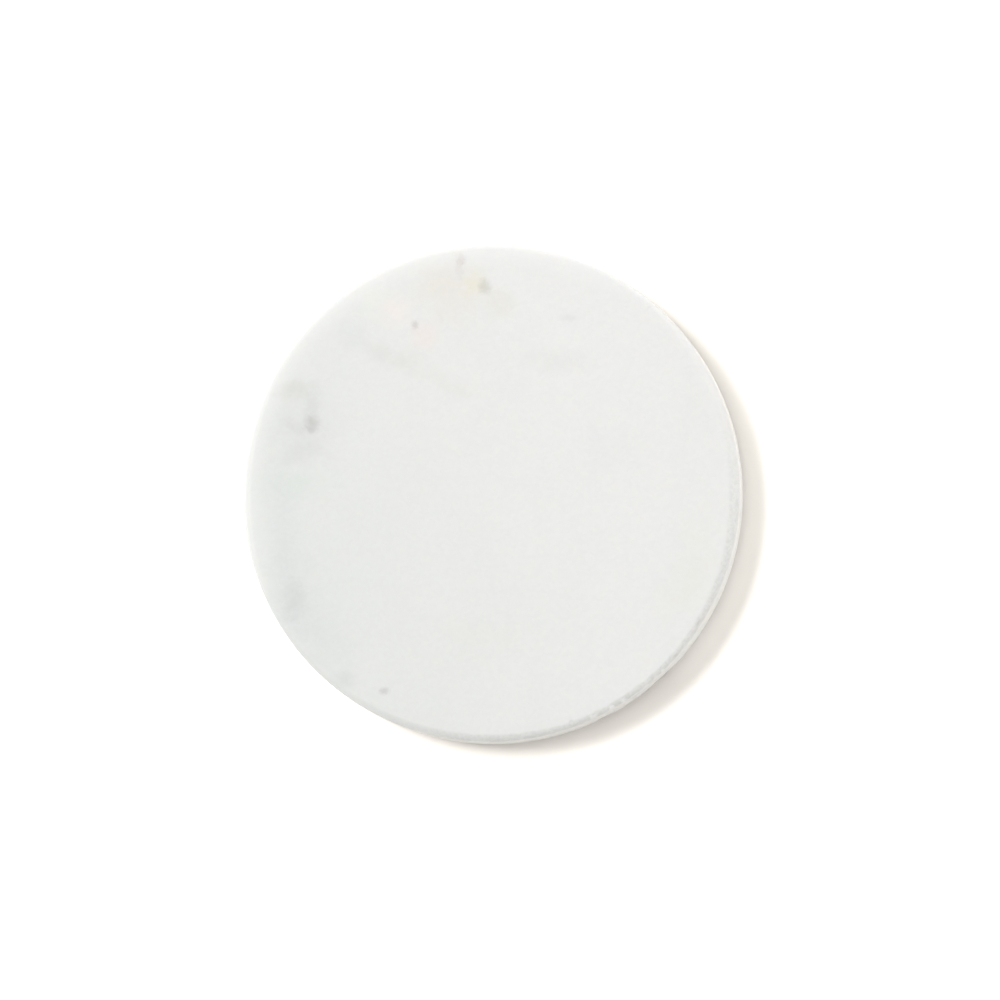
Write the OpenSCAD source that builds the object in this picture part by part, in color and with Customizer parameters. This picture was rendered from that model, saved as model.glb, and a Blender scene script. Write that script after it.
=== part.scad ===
// Round marble drink coaster: a honed stone disc that stands on clear
// elastomer bumpers, each held to the underside by its own adhesive film.
// Origin at the centre of the surface it stands on, +Z up, millimetres.

/* [Stone disc] */
// Diameter of the marble disc
stone_d = 100; // [80:1:120]
// Thickness of the marble disc
stone_t = 10; // [7:0.5:16]
// Radius of the honed round along the top edge
top_edge_r = 1.5; // [0.5:0.1:3.5]
// Radius of the small round that eases the bottom edge
bottom_edge_r = 1; // [0.3:0.1:1.5]

/* [Bumpers] */
// Diameter of each clear bumper
bumper_d = 10; // [6:0.5:14]
// Thickness of each bumper, from its foot to its film
bumper_t = 1.4; // [1:0.1:3]
// Radius of the moulded round along a bumper's foot edge
bumper_edge_r = 0.4; // [0.1:0.05:0.6]
// Distance from the disc's rim in to the nearest point of a bumper
bumper_inset = 7; // [2:0.5:15]

/* [Adhesive films] */
// Thickness of the adhesive film between a bumper and the stone
film_t = 0.1; // [0.05:0.05:0.3]
// Distance from a bumper's edge in to the edge of its film
film_inset = 0.25; // [0.1:0.05:0.5]

/* [Hidden] */
$fn = 96;
stone_r = stone_d / 2;
bumper_r = bumper_d / 2;
film_r = bumper_r - film_inset;
// Circle through the bumpers' centres
pitch_r = stone_r - bumper_inset - bumper_r;
// Heights of the film's underside and of the stone's underside
film_z = bumper_t;
stone_z = film_z + film_t;
// Bumpers stand at even steps round the disc, the first one half a step from +X
bumper_count = 4;
bumper_step = 360 / bumper_count;

// Half section of a disc of radius r and thickness t, its lower edge rounded
module foot_rounded_section(r, t, foot_edge_r) {
    square([r - foot_edge_r, t]);
    translate([0, foot_edge_r]) square([r, t - foot_edge_r]);
    translate([r - foot_edge_r, foot_edge_r]) circle(foot_edge_r);
}

// Half section of the stone: the bottom round, plus the larger round on top
module stone_section() {
    difference() {
        foot_rounded_section(stone_r, stone_t, bottom_edge_r);
        translate([stone_r - top_edge_r, stone_t - top_edge_r]) square(top_edge_r);
    }
    translate([stone_r - top_edge_r, stone_t - top_edge_r]) circle(top_edge_r);
}

// Places a piece at the centre of bumper i
module at_bumper(i) {
    rotate((i - 0.5) * bumper_step) translate([pitch_r, 0, 0]) children();
}

// Honed disc with a flat face for the cup, rounded all along its top edge
module stone_disc() {
    color([0.93, 0.93, 0.92]) translate([0, 0, stone_z]) rotate_extrude() stone_section();
}

// Clear bumper with a flat foot and a moulded round along its foot edge
module bumper(i) {
    color([0.86, 0.88, 0.87, 0.6]) at_bumper(i) rotate_extrude()
        foot_rounded_section(bumper_r, bumper_t, bumper_edge_r);
}

// Adhesive film, face to face with the bumper below and the stone above
module adhesive(i) {
    color([0.90, 0.89, 0.84, 0.7]) at_bumper(i) translate([0, 0, film_z])
        cylinder(r = film_r, h = film_t);
}

stone_disc();
for (i = [1 : bumper_count]) {
    bumper(i);
    adhesive(i);
}
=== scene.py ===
import math
from collections import namedtuple

import bmesh
import bpy
import numpy as np
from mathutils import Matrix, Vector, noise


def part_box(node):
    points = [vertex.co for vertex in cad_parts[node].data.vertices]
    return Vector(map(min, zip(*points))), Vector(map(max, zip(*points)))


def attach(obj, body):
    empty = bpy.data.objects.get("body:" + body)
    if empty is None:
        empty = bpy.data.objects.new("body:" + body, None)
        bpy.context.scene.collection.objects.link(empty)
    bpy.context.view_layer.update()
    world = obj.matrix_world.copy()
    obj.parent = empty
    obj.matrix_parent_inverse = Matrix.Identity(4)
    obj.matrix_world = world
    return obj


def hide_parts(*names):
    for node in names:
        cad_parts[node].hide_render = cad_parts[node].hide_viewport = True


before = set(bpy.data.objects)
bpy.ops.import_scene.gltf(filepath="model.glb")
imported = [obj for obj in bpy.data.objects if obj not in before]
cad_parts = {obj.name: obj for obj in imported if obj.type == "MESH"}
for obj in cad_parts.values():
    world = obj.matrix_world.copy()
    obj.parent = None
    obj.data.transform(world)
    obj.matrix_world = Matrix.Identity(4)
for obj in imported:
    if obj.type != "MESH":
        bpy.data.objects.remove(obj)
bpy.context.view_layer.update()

# Units: the scene is in metres, and shapes and textures are written in millimetres
MM = 0.001
PER_MM = 1 / MM

# The photograph's camera looks almost straight down, from the lower right of the picture
PHOTO_PX = 1000
SENSOR_MM = 36
LENS_MM = 286.0
CAMERA_DISTANCE = 1600 * MM
CAMERA_AZIMUTH = 51
CAMERA_ELEVATION = 82.15
CAMERA_AIM = Vector((0.80, -0.63, 0)) * MM

# How much of the light on a level surface comes from the softbox; the sky gives the rest, up to one
KEY_SHARE = 0.515
WHITE = (1, 1, 1)

# Brightness of the sky at the horizon, overhead and, on top of that, low down on its bright side
HORIZON_LIGHT = 0.86
ZENITH_LIGHT = 0.225
SIDE_LIGHT = 7.0
SIDE_AZIMUTH = 111

# White paper: the colour that lights the stone, the warm, overexposed one that shows round the object, and
# the one that shows far away, where the paper runs into the white background
PAPER = (0.80, 0.79, 0.77, 1)
PAPER_SEEN = (1.52, 1.46, 1.38, 1)
PAPER_FAR = (4, 4, 4, 1)
PAPER_FAR_START = 0.25
PAPER_FAR_END = 1.2
PAPER_HALF_SIZE = 3.0

# Corners of the stone's box in the CAD model, and the numbers of its bumpers
STONE_LOW, STONE_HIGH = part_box("stone_disc")
BUMPER_NUMBERS = (1, 2, 3, 4)

# The stone's rounds, as in the CAD model
TOP_EDGE_R = 1.5 * MM
BOTTOM_EDGE_R = 1 * MM

# A bumper's foot round, as in the CAD model, the small round along its top, and how hollow its foot is
BUMPER_EDGE_R = 0.4 * MM
BUMPER_TOP_R = 0.08 * MM
BUMPER_HOLLOW = 0.04 * MM

# The side of the disc, away from the key light, whose round is painted grey with shade; the round on the
# opposite side is painted with highlight
SHADE_SIDE_AZIMUTH = 40

# The side along whose bottom edge shade is painted, where the stone stands over its deepest contact shadow
FOOT_SHADE_AZIMUTH = 12


def srgb(red, green, blue):
    """Linear colour of an 8-bit display colour."""
    shares = (channel / 255 for channel in (red, green, blue))
    return tuple(s / 12.92 if s <= 0.04045 else ((s + 0.055) / 1.055) ** 2.4 for s in shares)


def direction(azimuth, elevation):
    """Unit vector towards an azimuth and elevation in degrees, where 0, 0 is towards -Y."""
    a, e = math.radians(azimuth), math.radians(elevation)
    return Vector((math.sin(a) * math.cos(e), -math.cos(a) * math.cos(e), math.sin(e)))


class Shader:
    """A material or world that is written one node at a time; most methods return the socket they made."""

    def __init__(self, owner):
        owner.use_nodes = True
        self.owner = owner
        self.tree = owner.node_tree
        self.tree.nodes.clear()

    def node(self, kind, output=0, inputs=(), **settings):
        node = self.tree.nodes.new("ShaderNode" + kind)
        for name, value in settings.items():
            setattr(node, name, value)
        for name, value in dict(inputs).items():
            if isinstance(value, bpy.types.NodeSocket):
                self.tree.links.new(value, node.inputs[name])
            else:
                node.inputs[name].default_value = value
        return node.outputs[output]

    def math(self, operation, first, second=0.0, third=0.0):
        return self.node("Math", inputs={0: first, 1: second, 2: third}, operation=operation)

    def smooth(self, value, start, end):
        """0 where value is at start, 1 where it is at end, and a smooth step between."""
        span = {"Value": value, "From Min": start, "From Max": end}
        return self.node("MapRange", inputs=span, interpolation_type="SMOOTHSTEP")

    def mix(self, share, first, second):
        """Colour between first and second."""
        ends = {"Factor": share, 6: first, 7: second}
        return self.node("Mix", 2, inputs=ends, data_type="RGBA")

    def length(self, vector):
        return self.node("VectorMath", "Value", inputs={0: vector}, operation="LENGTH")

    def dot(self, vector, fixed):
        """Dot product with a vector of plain numbers."""
        return self.node("VectorMath", "Value", inputs={0: vector, 1: fixed}, operation="DOT_PRODUCT")

    def upward(self, vector):
        return self.node("SeparateXYZ", "Z", inputs={0: vector})

    def place_mm(self):
        """Place on the object, in millimetres."""
        coordinate = self.node("TexCoord", "Object")
        return self.node("VectorMath", inputs={0: coordinate, "Scale": PER_MM}, operation="SCALE")

    def bump(self, height, strength, depth_mm):
        inputs = {"Strength": strength, "Distance": depth_mm * MM, "Height": height}
        return self.node("Bump", inputs=inputs)

    def noise(self, place, size, detail=2.0, distortion=0.0):
        """Noise from 0 to 1 whose features are about size millimetres across."""
        inputs = {"Vector": place, "Scale": 1 / size, "Detail": detail, "Distortion": distortion}
        return self.node("TexNoise", "Fac", inputs=inputs)

    def scaled(self, place, x, y, z):
        return self.node("VectorMath", inputs={0: place, 1: (x, y, z)}, operation="MULTIPLY")

    def finish(self, surface, target="OutputMaterial"):
        output = self.tree.nodes.new("ShaderNode" + target)
        self.tree.links.new(surface, output.inputs["Surface"])
        return self.owner


# Camera, lights and floor

def make_camera():
    """The photograph's camera: its up is the picture's up, tipped over as little as its tilt needs."""
    back = direction(CAMERA_AZIMUTH, CAMERA_ELEVATION)
    data = bpy.data.cameras.new("camera")
    data.sensor_width = SENSOR_MM
    data.lens = LENS_MM
    data.clip_start = 0.01
    camera = bpy.data.objects.new("camera", data)
    camera.location = CAMERA_AIM + back * CAMERA_DISTANCE
    camera.rotation_mode = "QUATERNION"
    camera.rotation_quaternion = Vector((0, 0, 1)).rotation_difference(back)
    bpy.context.scene.collection.objects.link(camera)
    bpy.context.scene.camera = camera
    return camera


def seen_at(camera, px, py, height):
    """The point at that height which the camera shows at a pixel of the photograph."""
    across = SENSOR_MM / LENS_MM / PHOTO_PX
    ray = Vector(((px - PHOTO_PX / 2) * across, (PHOTO_PX / 2 - py) * across, -1))
    ray = camera.rotation_quaternion @ ray
    return camera.location + ray * ((height - camera.location.z) / ray.z)


def seen_on_stone(camera, px, py):
    """The point of the stone that a pixel shows, on its face or down its wall."""
    for height in np.linspace(STONE_HIGH.z, STONE_LOW.z, 101):
        point = seen_at(camera, px, py, height)
        if point.xy.length < STONE_HIGH.x:
            break
    return point


def make_lamp(name, azimuth, elevation, distance, width, height, share):
    """A softbox aimed at the origin, which lights a white level surface to that share of full white."""
    data = bpy.data.lights.new(name, "AREA")
    data.shape = "RECTANGLE"
    data.size = width
    data.size_y = height
    data.energy = share * math.pi ** 2 * distance ** 2 / math.sin(math.radians(elevation))
    lamp = bpy.data.objects.new(name, data)
    towards = direction(azimuth, elevation)
    lamp.location = towards * distance
    lamp.rotation_mode = "QUATERNION"
    lamp.rotation_quaternion = towards.to_track_quat("Z", "Y")
    bpy.context.scene.collection.objects.link(lamp)


def seen_directly(shader):
    """1 for a camera, glossy or transmission ray, and 0 for a ray that only carries light."""
    path = [shader.node("LightPath", f"Is {kind} Ray") for kind in ("Camera", "Glossy", "Transmission")]
    return shader.math("MAXIMUM", shader.math("MAXIMUM", path[0], path[1]), path[2])


def make_world():
    """Light from all round, which shows as plain white."""
    world = bpy.data.worlds.new("studio")
    bpy.context.scene.world = world
    shader = Shader(world)
    place = shader.node("TexCoord", "Generated")
    height = shader.upward(place)
    ends = {"To Min": HORIZON_LIGHT, "To Max": ZENITH_LIGHT}
    light = shader.node("MapRange", inputs={"Value": height, **ends})
    side = shader.dot(place, tuple(direction(SIDE_AZIMUTH, 0)))
    side = shader.math("POWER", shader.math("MAXIMUM", side, 0.0), 4.0)
    low = shader.math("POWER", shader.math("SUBTRACT", 1.0, shader.math("ABSOLUTE", height)), 6.0)
    light = shader.math("MULTIPLY_ADD", shader.math("MULTIPLY", side, low), SIDE_LIGHT, light)
    ends = {"To Min": light, "To Max": 1.0}
    strength = shader.node("MapRange", inputs={"Value": seen_directly(shader), **ends})
    background = shader.node("Background", inputs={"Color": (*WHITE, 1), "Strength": strength})
    shader.finish(background, "OutputWorld")


def make_floor():
    """White paper that keeps the object's warm shadow."""
    half = PAPER_HALF_SIZE
    mesh = bpy.data.meshes.new("floor")
    corners = [(-half, -half, 0), (half, -half, 0), (half, half, 0), (-half, half, 0)]
    mesh.from_pydata(corners, [], [(0, 1, 2, 3)])
    floor = bpy.data.objects.new("floor", mesh)
    bpy.context.scene.collection.objects.link(floor)
    shader = Shader(bpy.data.materials.new("floor_paper"))
    away = shader.length(shader.node("TexCoord", "Object"))
    far = shader.smooth(away, PAPER_FAR_START, PAPER_FAR_END)
    colour = shader.mix(seen_directly(shader), PAPER, shader.mix(far, PAPER_SEEN, PAPER_FAR))
    floor.data.materials.append(shader.finish(shader.node("BsdfDiffuse", inputs={"Color": colour})))


# Meshes

def arc(centre_r, centre_z, radius, start, end, steps):
    """Points of an arc in a half section, from one angle to another in degrees, ends included."""
    angles = np.radians(np.linspace(start, end, steps + 1))
    return [(centre_r + radius * math.cos(a), centre_z + radius * math.sin(a)) for a in angles]


def span(start, end, steps):
    """Points of a straight run between two section points, both ends left out."""
    shares = np.linspace(0, 1, steps + 1)[1:-1]
    return [tuple(np.array(start) + share * (np.array(end) - np.array(start))) for share in shares]


def revolve(name, section, segments, centre=(0, 0)):
    """A closed mesh from a half section that starts and ends on an upright axis through centre."""
    turns = np.linspace(0, 2 * math.pi, segments, endpoint=False)
    verts = [(centre[0], centre[1], section[0][1])]
    for radius, z in section[1:-1]:
        verts += [(centre[0] + radius * math.cos(t), centre[1] + radius * math.sin(t), z) for t in turns]
    verts.append((centre[0], centre[1], section[-1][1]))
    rings = len(section) - 2
    following = [(i + 1) % segments for i in range(segments)]
    faces = [(0, 1 + i, 1 + j) for i, j in enumerate(following)]
    for ring in range(rings - 1):
        upper, lower = 1 + ring * segments, 1 + (ring + 1) * segments
        faces += [(upper + i, lower + i, lower + j, upper + j) for i, j in enumerate(following)]
    last = 1 + (rings - 1) * segments
    faces += [(last + i, len(verts) - 1, last + j) for i, j in enumerate(following)]
    mesh = bpy.data.meshes.new(name)
    mesh.from_pydata(verts, [], faces)
    mesh.shade_smooth()
    piece = bpy.data.objects.new(name, mesh)
    bpy.context.scene.collection.objects.link(piece)
    return piece


Nick = namedtuple("Nick", "place radius depth")

# Nicks that the photograph shows: pixel, radius and depth in mm
SEEN_NICKS = (
    (650, 308, 0.55, 0.10),
    (571, 722, 0.55, 0.10),
)

# Nicks along the bottom edge: azimuth in degrees and radius in mm, with one depth in mm for all
FOOT_NICKS = ((17, 0.5), (83, 0.8), (148, 0.6), (201, 0.9), (262, 0.5), (334, 0.7))
FOOT_NICK_DEPTH = 0.12

Chip = namedtuple("Chip", "turn ledge half_width depth")

# Chips that end in a bright ledge on the wall: pixel of the ledge, half width and depth in mm
SEEN_CHIPS = (
    (592, 716, 0.7, 0.16),
    (612, 708, 0.5, 0.34),
    (624, 701, 0.6, 0.28),
    (647, 686, 0.5, 0.30),
    (656, 678, 0.4, 0.28),
    (664, 670, 0.5, 0.18),
    (687, 643, 0.9, 0.12),
)


def chip_depth(chips, turn, height):
    """How deep the chips are at a turn and height: each one takes the stone above its ledge."""
    deepest = 0.0
    for chip in chips:
        along = math.remainder(turn - chip.turn, math.tau) * STONE_HIGH.x / chip.half_width
        above = (height - chip.ledge) / (0.3 * MM)
        if abs(along) < 1 and above > 0:
            deepest = max(deepest, chip.depth * (1 - along ** 2) * min(1.0, above))
    return deepest


def cut_nicks(piece, nicks, cuts=3):
    """Small flakes out of an edge: the mesh is divided finely round each, then pressed in."""
    grid = bmesh.new()
    grid.from_mesh(piece.data)
    for nick in nicks:
        near = [e for e in grid.edges if (e.verts[0].co - nick.place).length < 2 * nick.radius]
        bmesh.ops.subdivide_edges(grid, edges=near, cuts=cuts, use_grid_fill=True)
    grid.normal_update()
    for nick in nicks:
        for vert in grid.verts:
            share = (vert.co - nick.place).length / nick.radius
            if share < 1:
                vert.co -= vert.normal * nick.depth * (1 - share ** 2) ** 2
    grid.to_mesh(piece.data)
    grid.free()


def stone_section():
    """Half section of the disc, from the middle of its face to the middle of its underside."""
    rim = STONE_HIGH.x
    top, bottom = STONE_HIGH.z, STONE_LOW.z
    face_r, sole_r = rim - TOP_EDGE_R, rim - BOTTOM_EDGE_R
    upper_round = arc(face_r, top - TOP_EDGE_R, TOP_EDGE_R, 90, 0, 18)
    lower_round = arc(sole_r, bottom + BOTTOM_EDGE_R, BOTTOM_EDGE_R, 0, -90, 8)
    face = span((0, top), upper_round[0], 20)
    wall = span(upper_round[-1], lower_round[0], 40)
    sole = span(lower_round[-1], (0, bottom), 20)
    return [(0, top), *face, *upper_round, *wall, *lower_round, *sole, (0, bottom)]


def bell(turn, middle, spread):
    """1 at the middle turn round the disc, falling off to both sides."""
    return math.exp(-(math.remainder(turn - middle, math.tau) / spread) ** 2)


def rough_side(turn):
    """1 in the middle of the roughly sawn side, and 0 well away from it."""
    return bell(turn, -1.2, 0.6)


def waves(turn, parts):
    """Sum of sine waves round the disc, each with its height, its count and its phase."""
    return sum(height * math.sin(count * turn + phase) for height, count, phase in parts)


def top_round(turn):
    """Radius of the hand-finished top round at a turn: widest towards +X, ragged on the rough side."""
    wide = 0.92 * bell(turn, 0.05, 0.5) + 0.41 * bell(turn, -1.75, 0.45) + 0.45 * bell(turn, 3.1, 0.35)
    uneven = waves(turn, ((0.04, 5, 0.7), (0.03, 13, 2.1), (0.02, 31, 0)))
    ragged = waves(turn, ((0.05, 67, 1.0), (0.04, 101, 0), (0.03, 163, 2.0)))
    return TOP_EDGE_R * (0.82 + wide + uneven + ragged * rough_side(turn))


def sawn_depth(place, turn):
    """How far the wall is broken in at a place: more on its rough side."""
    large = max(0.0, noise.noise(place * PER_MM / 1.1))
    small = max(0.0, noise.noise(place * PER_MM / 0.45))
    return (large + 0.6 * small) * (0.02 + 0.12 * rough_side(turn)) * MM


def hand_finish(piece, chips):
    """Gives the top round its uneven width, which face and wall follow, and roughens and chips the wall."""
    rim, top = STONE_HIGH.x, STONE_HIGH.z
    wall_low = STONE_LOW.z + BOTTOM_EDGE_R
    wall_height = top - TOP_EDGE_R - wall_low
    for vert in piece.data.vertices:
        reach, turn = math.hypot(vert.co.x, vert.co.y), math.atan2(vert.co.y, vert.co.x)
        radius = top_round(turn)
        out, up = reach - (rim - TOP_EDGE_R), vert.co.z - (top - TOP_EDGE_R)
        share = 0.0
        if up > 0 and out > 0:
            share = max(0.0, 1 - up / (0.6 * TOP_EDGE_R))
            reach = rim - radius + out * radius / TOP_EDGE_R
            vert.co.z = top - radius + up * radius / TOP_EDGE_R
        elif up > 0:
            reach *= (rim - radius) / (rim - TOP_EDGE_R)
        elif vert.co.z > wall_low:
            above = vert.co.z - wall_low
            share = min(1.0, above / (0.5 * MM))
            vert.co.z = wall_low + above * (top - radius - wall_low) / wall_height
        if share:
            reach -= share * sawn_depth(vert.co, turn)
        if out > 0:
            reach = min(reach, rim - chip_depth(chips, turn, vert.co.z))
        vert.co.x = reach * math.cos(turn)
        vert.co.y = reach * math.sin(turn)


# Materials

Mark = namedtuple("Mark", "px py length width depth turn ragged soft colour strength")

# Marks in the stone: pixel of the photograph, half sizes in mm, turn in degrees, how ragged and how soft
# the edge is, the colour, and how strongly it shows
MARKS = (
    # Grey cloud at the left, with its dark core
    Mark(302, 424, 10.5, 14.0, 14, 10, 0.6, 1.0, srgb(206, 208, 205), 0.18),
    Mark(312, 410, 2.6, 8.0, 9, -6, 0.6, 0.95, srgb(184, 186, 182), 0.16),
    Mark(297, 427, 3.8, 2.4, 6, -12, 0.6, 0.95, srgb(184, 185, 184), 0.14),
    Mark(296, 389, 5.4, 3.6, 8, 15, 0.6, 0.95, srgb(190, 192, 178), 0.20),
    Mark(299, 406, 2.4, 1.6, 5, 30, 0.5, 0.9, srgb(238, 239, 243), 0.12),
    Mark(300, 455, 7.6, 3.8, 10, 4, 0.6, 0.95, srgb(190, 191, 190), 0.12),
    Mark(313, 424, 2.3, 2.6, 5, 30, 0.6, 0.95, srgb(138, 138, 132), 0.24),
    Mark(294, 484, 12.0, 4.8, 12, 3, 0.6, 1.0, srgb(214, 224, 214), 0.28),
    # Blue-grey band down the lower left
    Mark(284, 530, 4.4, 19.0, 16, 4, 0.6, 1.0, srgb(208, 214, 213), 0.20),
    Mark(292, 600, 8.4, 15.0, 18, 12, 0.6, 1.0, srgb(206, 211, 211), 0.18),
    Mark(294, 602, 3.4, 6.2, 10, -8, 0.6, 0.95, srgb(184, 186, 184), 0.20),
    Mark(326, 640, 8.0, 15.0, 16, 35, 0.6, 1.0, srgb(208, 213, 212), 0.16),
    Mark(344, 679, 3.2, 2.8, 8, 0, 0.6, 0.95, srgb(196, 198, 198), 0.18),
    Mark(384, 691, 1.5, 1.1, 2.5, 10, 0.5, 0.9, srgb(150, 150, 148), 0.28),
    # Smear that runs down to the right from the upper left
    Mark(357, 341, 6.4, 3.6, 10, -28, 0.6, 1.0, srgb(210, 214, 214), 0.16),
    Mark(384, 354, 6.0, 3.6, 8, -24, 0.6, 1.0, srgb(194, 191, 182), 0.16),
    Mark(410, 361, 5.4, 4.4, 8, -30, 0.6, 1.0, srgb(204, 201, 192), 0.14),
    Mark(440, 380, 6.2, 2.8, 7, -36, 0.6, 1.0, srgb(206, 202, 195), 0.10),
    Mark(460, 393, 4.6, 2.6, 7, -14, 0.6, 1.0, srgb(204, 200, 190), 0.10),
    # Warm tints towards the top, with a few small specks
    Mark(446, 290, 11.0, 9.0, 14, -30, 0.6, 1.0, srgb(234, 226, 212), 0.35),
    Mark(500, 303, 6.0, 4.0, 10, 0, 0.6, 1.0, srgb(228, 226, 216), 0.35),
    Mark(426, 334, 4.8, 4.8, 7, 0, 0.6, 1.0, srgb(244, 228, 222), 0.38),
    Mark(396, 312, 5.4, 5.0, 8, 0, 0.6, 1.0, srgb(250, 238, 232), 0.40),
    Mark(474, 282, 3.8, 4.4, 6, 0, 0.6, 1.0, srgb(234, 226, 192), 0.28),
    Mark(372, 302, 5.8, 3.4, 8, 40, 0.6, 1.0, srgb(240, 243, 230), 0.35),
    Mark(485, 287, 1.9, 2.4, 3.5, 20, 0.6, 0.9, srgb(172, 170, 152), 0.30),
    Mark(461, 260, 1.4, 1.6, 3, 0, 0.6, 0.9, srgb(186, 168, 162), 0.26),
    Mark(459, 268, 1.4, 4.2, 5, 4, 0.6, 0.95, srgb(214, 202, 196), 0.22),
    Mark(415, 325, 1.1, 1.2, 2.5, 0, 0.5, 0.9, srgb(140, 122, 112), 0.22),
    # Faint bands towards the right and the bottom
    Mark(560, 361, 11.0, 3.8, 10, 0, 0.6, 1.0, srgb(216, 216, 212), 0.16),
    Mark(568, 318, 3.0, 1.2, 4, -4, 0.6, 0.95, srgb(208, 209, 206), 0.22),
    Mark(690, 570, 7.0, 16.0, 14, -20, 0.6, 1.0, srgb(234, 234, 222), 0.30),
    Mark(480, 640, 22.0, 7.0, 16, 6, 0.6, 1.0, srgb(230, 231, 224), 0.25),
)

# Painted glints and painted contact shade along the rim at the lower right, with a few grey smudges on the
# round
RIM_GLINTS_SHADE_AND_SMUDGES = (
    # Painted glints: white specks where light catches the chipped rim
    Mark(594, 717, 1.2, 0.6, 1.4, 25, 0.7, 0.9, srgb(255, 255, 253), 0.70),
    Mark(612, 708, 0.9, 0.8, 1.6, 30, 0.5, 0.7, srgb(255, 255, 253), 1.00),
    Mark(624, 701, 1.0, 0.7, 1.6, 33, 0.6, 0.8, srgb(255, 255, 253), 0.90),
    Mark(647, 686, 0.9, 0.7, 1.6, 38, 0.6, 0.8, srgb(255, 254, 251), 0.90),
    Mark(656, 678, 0.8, 0.7, 1.6, 41, 0.6, 0.8, srgb(255, 254, 251), 0.90),
    Mark(664, 670, 0.8, 0.5, 1.4, 43, 0.7, 0.9, srgb(255, 254, 251), 0.70),
    # Painted contact shade low on the wall, where the stone stands over its shadow, with one paler grey
    # smudge among it
    Mark(605, 717, 3.2, 1.0, 2.0, 27, 0.8, 0.9, srgb(96, 94, 88), 0.40),
    Mark(618, 711, 2.4, 1.0, 1.8, 30, 0.8, 0.9, srgb(104, 102, 98), 0.36),
    Mark(633, 701, 3.0, 1.0, 2.0, 34, 0.8, 0.9, srgb(112, 114, 100), 0.36),
    Mark(638, 694, 1.8, 1.0, 1.6, 36, 0.9, 1.0, srgb(150, 154, 140), 0.24),
    Mark(648, 690, 2.6, 1.0, 1.8, 39, 0.8, 0.9, srgb(98, 94, 90), 0.38),
    Mark(659, 680, 3.4, 1.0, 1.9, 42, 0.8, 0.9, srgb(88, 86, 80), 0.42),
    Mark(668, 672, 2.4, 1.0, 1.9, 44, 0.7, 0.9, srgb(80, 78, 74), 0.48),
    # Grey smudges on the round
    Mark(676, 655, 1.2, 0.4, 1.2, 47, 0.6, 1.0, srgb(150, 148, 142), 0.28),
    Mark(698, 623, 1.4, 0.4, 1.2, 57, 0.6, 1.0, srgb(160, 160, 158), 0.28),
)


def mark_mask(shader, mark, place, centre, ragged_noise):
    """1 at the heart of a mark and 0 outside it, with an uneven edge."""
    mapping = {
        "Vector": place,
        "Location": centre * PER_MM,
        "Rotation": (0, 0, math.radians(mark.turn)),
        "Scale": (mark.length, mark.width, mark.depth),
    }
    local = shader.node("Mapping", inputs=mapping, vector_type="TEXTURE")
    away = shader.length(local)
    shift = shader.math("MULTIPLY", shader.math("SUBTRACT", ragged_noise, 0.5), 2 * mark.ragged)
    return shader.smooth(shader.math("ADD", away, shift), 1.0, 1.0 - mark.soft)


def add_marks(shader, place, camera, marks, colour):
    """Lays marks over a colour. The smaller a mark, the finer the noise that frays its edge."""
    wide, middle, fine = (shader.noise(place, size, 4.0, 0.8) for size in (5.0, 1.8, 0.7))
    for mark in marks:
        centre = seen_on_stone(camera, mark.px, mark.py)
        ragged_noise = fine if mark.length < 1.6 else middle if mark.length < 4.5 else wide
        mask = mark_mask(shader, mark, place, centre, ragged_noise)
        colour = shader.mix(shader.math("MULTIPLY", mask, mark.strength), colour, (*mark.colour, 1))
    return colour


def stone_colour(shader, place, camera):
    """White stone with a slow drift, faint bands and its marks; also the value that tells grains apart."""
    slow = shader.math("MULTIPLY_ADD", shader.noise(place, 30, 2.0, 0.6), 30.0, -15.0)
    across = shader.dot(place, (0.95, 0.3, 0.2))
    drift = shader.smooth(shader.math("ADD", across, slow), -80, 45)
    colour = shader.mix(drift, (*srgb(227, 229, 226), 1), (*srgb(238, 238, 236), 1))
    bands = shader.noise(shader.scaled(place, 1.0, 0.6, 0.8), 12, 3.0, 0.4)
    veil = shader.math("MULTIPLY", shader.smooth(bands, 0.50, 0.80), 0.10)
    colour = shader.mix(veil, colour, (*srgb(222, 224, 222), 1))
    colour = add_marks(shader, place, camera, MARKS, colour)
    grain = shader.node("TexVoronoi", "Color", inputs={"Vector": place, "Scale": 1 / 0.7})
    grain_value = shader.node("SeparateColor", 0, inputs={"Color": grain})
    tone = shader.math("MULTIPLY_ADD", grain_value, 0.022, 0.989)
    return shader.node("VectorMath", inputs={0: colour, "Scale": tone}, operation="SCALE"), grain_value


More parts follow.
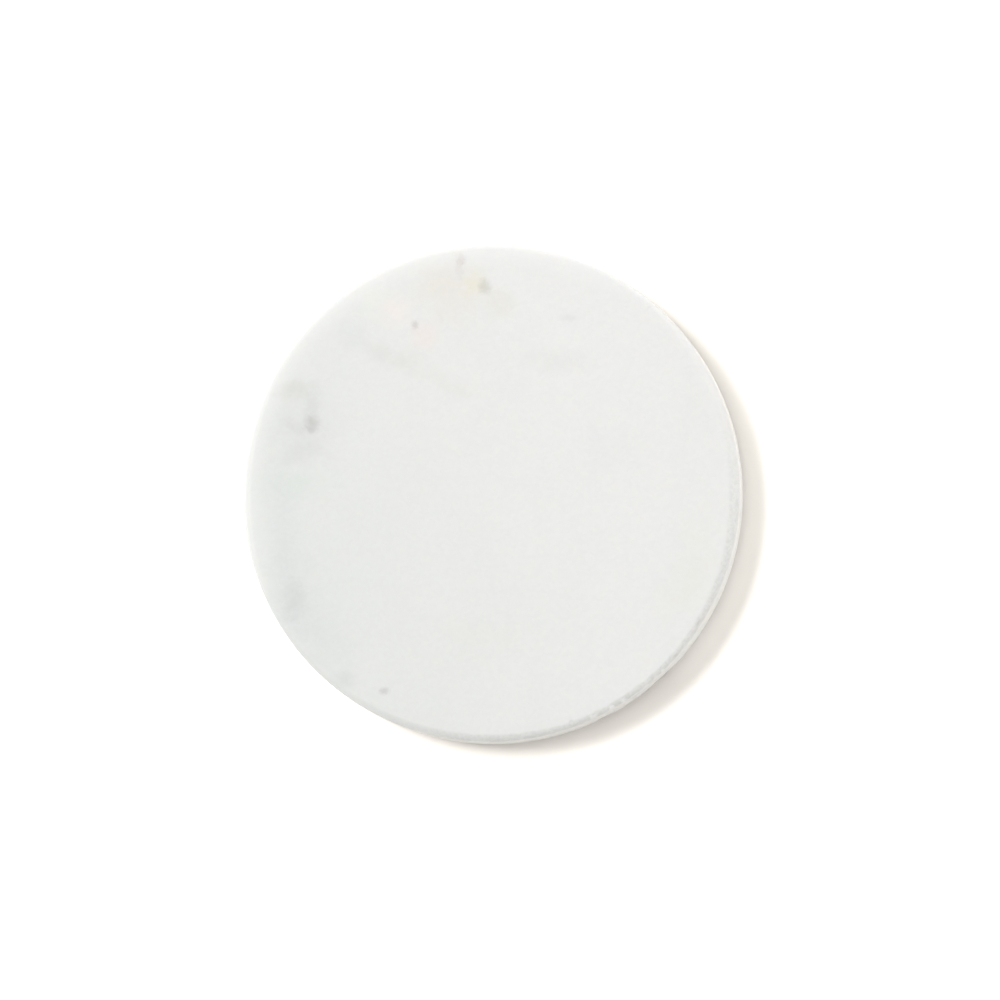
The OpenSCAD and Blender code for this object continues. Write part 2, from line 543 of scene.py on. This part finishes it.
def edge_tone(shader, place, normal_z, wall, colour):
    """A round painted grey with shade at the front, away from the key light, and painted white with
    highlight at the back, towards it, over a bruised, cream wall.
    """
    front = shader.dot(place, tuple(direction(SHADE_SIDE_AZIMUTH, 0)))
    leaning = shader.smooth(normal_z, 0.995, 0.93)
    slope = shader.math("MULTIPLY", leaning, shader.smooth(normal_z, 0.10, 0.40))
    flecks = shader.smooth(shader.noise(place, 0.7, 4.0, 0.5), 0.40, 0.62)
    # Painted shade: grey on the slope of the round on the side away from the key light, mottled by the
    # flecks
    shaded_round = shader.math("MULTIPLY", shader.smooth(front, 10, 40), slope)
    shaded_round = shader.math("MULTIPLY", shaded_round, shader.math("MULTIPLY_ADD", flecks, 0.34, 0.11))
    colour = shader.mix(shaded_round, colour, (*srgb(214, 214, 211), 1))
    # Painted highlight: white on the round and on the outer rim of the face, on the side towards the key
    # light
    reach = shader.length(shader.scaled(place, 1, 1, 0))
    outer_highlight = shader.math("MULTIPLY", shader.smooth(reach, 44.5, 49.0), 0.22)
    painted_highlight = shader.math("MULTIPLY_ADD", shader.smooth(normal_z, 0.97, 0.60), 0.5, outer_highlight)
    painted_highlight = shader.math("MULTIPLY", painted_highlight, shader.smooth(front, 0, -35))
    colour = shader.mix(painted_highlight, colour, (*srgb(255, 255, 253), 1))
    bruised = shader.smooth(shader.noise(place, 1.3, 4.0, 0.3), 0.30, 0.75)
    white = shader.mix(bruised, (*srgb(239, 237, 231), 1), (*srgb(252, 250, 245), 1))
    return shader.mix(shader.math("MULTIPLY", wall, 0.85), colour, white)


def painted_foot_shade(shader, place, colour):
    """Painted shade along the bottom edge on one side, uneven in height, standing for the contact shadow
    there.
    """
    front = shader.dot(place, tuple(direction(FOOT_SHADE_AZIMUTH, 0)))
    edge = shader.math("MULTIPLY_ADD", shader.noise(place, 2.2, 3.0), -3.0, shader.upward(place))
    # Painted shade: darker near the bottom edge on that side
    foot_shade = shader.math("MULTIPLY", shader.smooth(front, 35, 48), shader.smooth(edge, 1.8, 0.6))
    return shader.mix(shader.math("MULTIPLY", foot_shade, 0.36), colour, (*srgb(132, 128, 119), 1))


def make_marble(camera):
    """Marble, honed on the face and its round, and sawn on the wall and the underside."""
    shader = Shader(bpy.data.materials.new("white_marble"))
    place = shader.place_mm()
    normal_z = shader.upward(shader.node("TexCoord", "Normal"))
    colour, grain_value = stone_colour(shader, place, camera)

    wall = shader.smooth(shader.math("ABSOLUTE", normal_z), 0.30, 0.04)
    sole = shader.smooth(normal_z, -0.5, -0.9)
    patches = shader.noise(place, 3.0, 3.0)
    gloss = shader.math("MULTIPLY_ADD", patches, 0.12, 0.42)
    gloss = shader.math("MULTIPLY_ADD", grain_value, 0.06, gloss)
    roughness = shader.math("MULTIPLY_ADD", sole, 0.20, gloss)
    # Painted shade and highlight on the round, and painted shade along the foot
    colour = edge_tone(shader, place, normal_z, wall, colour)
    colour = painted_foot_shade(shader, place, colour)
    # Painted glints and painted contact shade along the rim, with a few grey smudges
    colour = add_marks(shader, place, camera, RIM_GLINTS_SHADE_AND_SMUDGES, colour)

    drag = shader.noise(shader.scaled(place, 0.12, 0.12, 5.0), 1.0, 3.0)
    rings = shader.node(
        "TexWave",
        "Fac",
        inputs={"Vector": shader.scaled(place, 1, 1, 0), "Scale": 0.35, "Distortion": 1.2, "Detail": 3.0},
        wave_type="RINGS",
        rings_direction="Z",
    )
    pits = shader.smooth(shader.noise(place, 0.35, 2.0), 0.30, 0.22)
    crumbs = shader.noise(place, 0.5, 3.0)
    relief = shader.math("MULTIPLY", drag, shader.math("MULTIPLY", wall, 0.2))
    relief = shader.math("MULTIPLY_ADD", crumbs, shader.math("MULTIPLY", wall, 1.2), relief)
    relief = shader.math("MULTIPLY_ADD", rings, shader.math("MULTIPLY", sole, 0.6), relief)
    relief = shader.math("SUBTRACT", relief, shader.math("MULTIPLY", pits, shader.math("ADD", sole, wall)))
    relief = shader.math("MULTIPLY_ADD", shader.noise(place, 2.2, 2.0), 0.06, relief)
    normal = shader.bump(relief, 0.6, 0.03)

    surface = shader.node(
        "BsdfPrincipled",
        inputs={
            "Base Color": colour,
            "Roughness": roughness,
            "Normal": normal,
            "IOR": 1.5,
            "Subsurface Weight": 0.6,
            "Subsurface Radius": (1.0, 0.9, 0.8),
            "Subsurface Scale": 1.2 * MM,
        },
    )
    return shader.finish(surface)


def make_elastomer():
    """Cast elastomer, clear but milky in this thickness, with a rubbed foot that holds dust."""
    shader = Shader(bpy.data.materials.new("clear_elastomer"))
    place = shader.place_mm()
    cloud = shader.noise(place, 2.5, 3.0)
    colour = shader.mix(cloud, (*srgb(240, 243, 240), 1), (*srgb(250, 251, 249), 1))
    normal_z = shader.upward(shader.node("TexCoord", "Normal"))
    foot = shader.smooth(normal_z, -0.6, -0.98)
    dust = shader.math("MULTIPLY", shader.smooth(shader.noise(place, 0.5, 4.0), 0.50, 0.72), foot)
    colour = shader.mix(shader.math("MULTIPLY", dust, 0.35), colour, (*srgb(206, 202, 194), 1))
    roughness = shader.math("MULTIPLY_ADD", dust, 0.35, shader.math("MULTIPLY_ADD", foot, 0.12, 0.08))
    normal = shader.bump(shader.noise(place, 1.4, 2.0), 0.3, 0.02)
    surface = shader.node(
        "BsdfPrincipled",
        inputs={
            "Base Color": colour,
            "Roughness": roughness,
            "Normal": normal,
            "IOR": 1.49,
            "Transmission Weight": 0.25,
            "Subsurface Weight": 0.6,
            "Subsurface Radius": (1.0, 1.0, 1.0),
            "Subsurface Scale": 1.5 * MM,
        },
    )
    return shader.finish(surface)


def make_adhesive():
    """Milky film with small air bubbles trapped where it doesn't wet the stone."""
    shader = Shader(bpy.data.materials.new("adhesive_film"))
    place = shader.place_mm()
    cells = {"Vector": place, "Scale": 1 / 0.9, "Randomness": 1.0}
    cell = shader.node("TexVoronoi", "Distance", inputs=cells)
    bubble = shader.smooth(cell, 0.26, 0.20)
    colour = shader.mix(bubble, (*srgb(224, 224, 214), 1), (*srgb(244, 244, 240), 1))
    roughness = shader.math("MULTIPLY_ADD", bubble, -0.25, 0.45)
    normal = shader.bump(bubble, 0.5, 0.02)
    surface = shader.node(
        "BsdfPrincipled",
        inputs={
            "Base Color": colour,
            "Roughness": roughness,
            "Normal": normal,
            "IOR": 1.47,
            "Transmission Weight": 0.2,
        },
    )
    return shader.finish(surface)


# Pieces

def add_piece(piece, material, node):
    """Dresses a piece and puts it in the place of a CAD node."""
    piece.data.materials.append(material)
    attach(piece, "root")
    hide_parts(node)


def make_disc(camera):
    """The stone, with its uneven round, its chips and its nicks."""
    disc = revolve("marble_disc", stone_section(), 1440)
    chips = []
    for px, py, half_width, depth in SEEN_CHIPS:
        ledge = seen_on_stone(camera, px, py)
        chips.append(Chip(math.atan2(ledge.y, ledge.x), ledge.z, half_width * MM, depth * MM))
    hand_finish(disc, chips)
    nicks = []
    for px, py, radius, depth in SEEN_NICKS:
        nicks.append(Nick(seen_on_stone(camera, px, py), radius * MM, depth * MM))
    for azimuth, radius in FOOT_NICKS:
        out = direction(azimuth, 0) * (STONE_HIGH.x - 0.3 * BOTTOM_EDGE_R)
        low = STONE_LOW.z + 0.3 * BOTTOM_EDGE_R
        nicks.append(Nick(Vector((out.x, out.y, low)), radius * MM, FOOT_NICK_DEPTH * MM))
    cut_nicks(disc, nicks)
    add_piece(disc, make_marble(camera), "stone_disc")


def bumper_section(low, high, radius):
    """Half section from the middle of the top to the middle of the slightly hollow foot."""
    upper = arc(radius - BUMPER_TOP_R, high - BUMPER_TOP_R, BUMPER_TOP_R, 90, 0, 3)
    lower = arc(radius - BUMPER_EDGE_R, low + BUMPER_EDGE_R, BUMPER_EDGE_R, 0, -90, 8)
    top = span((0, high), upper[0], 6)
    side = span(upper[-1], lower[0], 5)
    foot_r = lower[-1][0]
    shares = np.linspace(1, 0, 10)[1:]
    foot = [(foot_r * s, low + BUMPER_HOLLOW * (1 - s ** 2)) for s in shares[:-1]]
    return [(0, high), *top, *upper, *side, *lower, *foot, (0, low + BUMPER_HOLLOW)]


def film_section(low, high, radius):
    """Half section of a flat film, from the middle of its top to the middle of its underside."""
    half = radius * 0.5
    return [(0, high), (half, high), (radius, high), (radius, low), (half, low), (0, low)]


def make_bumpers():
    """A clear bumper and its film at each place that the CAD model gives."""
    elastomer, adhesive = make_elastomer(), make_adhesive()
    for number in BUMPER_NUMBERS:
        low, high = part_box(f"bumper_{number}")
        middle, radius = (low + high) / 2, (high.x - low.x) / 2
        bumper = revolve(f"clear_bumper_{number}", bumper_section(low.z, high.z, radius), 96, middle)
        add_piece(bumper, elastomer, f"bumper_{number}")
        low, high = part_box(f"adhesive_{number}")
        radius = (high.x - low.x) / 2
        section = film_section(low.z, high.z, radius)
        film = revolve(f"adhesive_film_{number}", section, 96, middle)
        add_piece(film, adhesive, f"adhesive_{number}")


camera = make_camera()
make_world()
make_floor()
make_lamp("key", azimuth=245.5, elevation=59.9, distance=2.4, width=0.92, height=0.70, share=KEY_SHARE)
make_disc(camera)
make_bumpers()
bpy.context.scene.view_settings.view_transform = "Standard"
